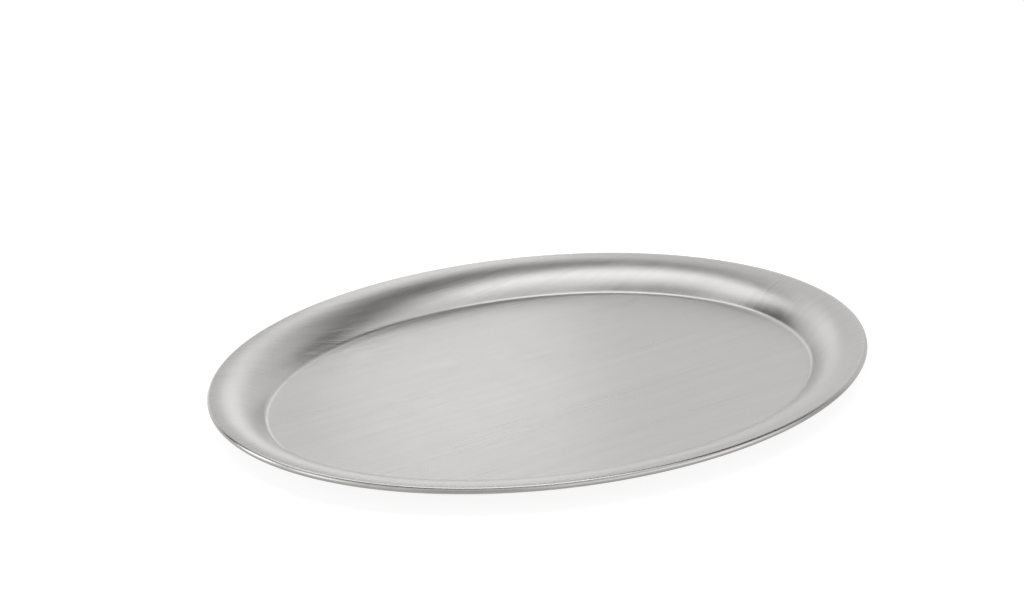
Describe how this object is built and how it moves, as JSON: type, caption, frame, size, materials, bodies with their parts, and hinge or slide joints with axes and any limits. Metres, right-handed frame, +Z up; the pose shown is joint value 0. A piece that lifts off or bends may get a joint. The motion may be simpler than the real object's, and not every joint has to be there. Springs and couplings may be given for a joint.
{
  "type": "serving tray",
  "caption": "Shallow oval serving tray pressed from one sheet of satin-brushed stainless steel, with a wide curved rim and an edge rolled over a hidden wire.",
  "frame": {"origin": "centre of the flat underside, on the surface the tray stands on", "axes": "+X along the tray's long axis, +Y across it, +Z up out of the well"},
  "size_m": [0.45, 0.355, 0.018],
  "materials": {
    "brushed_sheet": "satin, brushed straight along the long axis over floor and rim",
    "rim_wire_steel": "drawn wire, dull, out of sight inside the rolled edge"
  },
  "bodies": {
    "root": {"tray_pressing": "brushed_sheet", "rim_wire": "rim_wire_steel"}
  },
  "joints": []
}
